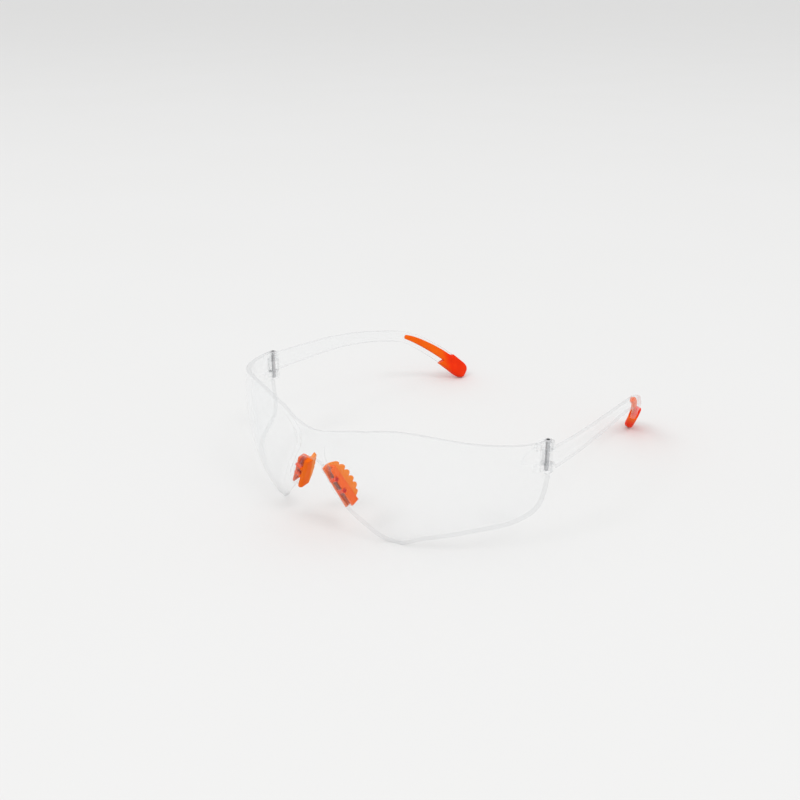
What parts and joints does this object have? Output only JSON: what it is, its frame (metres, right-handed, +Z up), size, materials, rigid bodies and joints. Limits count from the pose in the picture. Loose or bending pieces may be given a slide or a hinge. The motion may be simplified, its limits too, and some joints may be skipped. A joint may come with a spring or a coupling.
{
  "type": "safety glasses",
  "caption": "Frameless wraparound safety glasses: one clear double-domed lens, folding clear temples on pins, soft orange nose pads and temple tips.",
  "frame": {"origin": "centre of the footprint, at the height of the surface the open glasses rest on", "axes": "+X towards the wearer's left temple, +Y backwards from the lens to the temple tips, +Z up as the glasses rest open on their lens and temple tips"},
  "size_m": [0.148, 0.1651, 0.0482],
  "materials": {
    "clear_plastic": "clear polished polycarbonate, hard coated",
    "orange_rubber": "soft matt thermoplastic rubber, bright orange",
    "steel": "darkened steel hinge pin"
  },
  "bodies": {
    "front": {"lens": "clear_plastic", "nose_pad_left": "orange_rubber", "nose_pad_right": "orange_rubber", "hinge_pin_left": "steel", "hinge_pin_right": "steel"},
    "temple_left": {"temple_left": "clear_plastic", "temple_tip_left": "orange_rubber"},
    "temple_right": {"temple_right": "clear_plastic", "temple_tip_right": "orange_rubber"}
  },
  "joints": [
    {"name": "fold_left", "type": "hinge", "parent": "front", "child": "temple_left", "pos_m": [0.07, -0.0332, 0.035], "axis": [0, 0, 1], "range_deg": [0, 88]},
    {"name": "fold_right", "type": "hinge", "parent": "front", "child": "temple_right", "pos_m": [-0.07, -0.0332, 0.035], "axis": [0, 0, -1], "range_deg": [0, 78]}
  ]
}
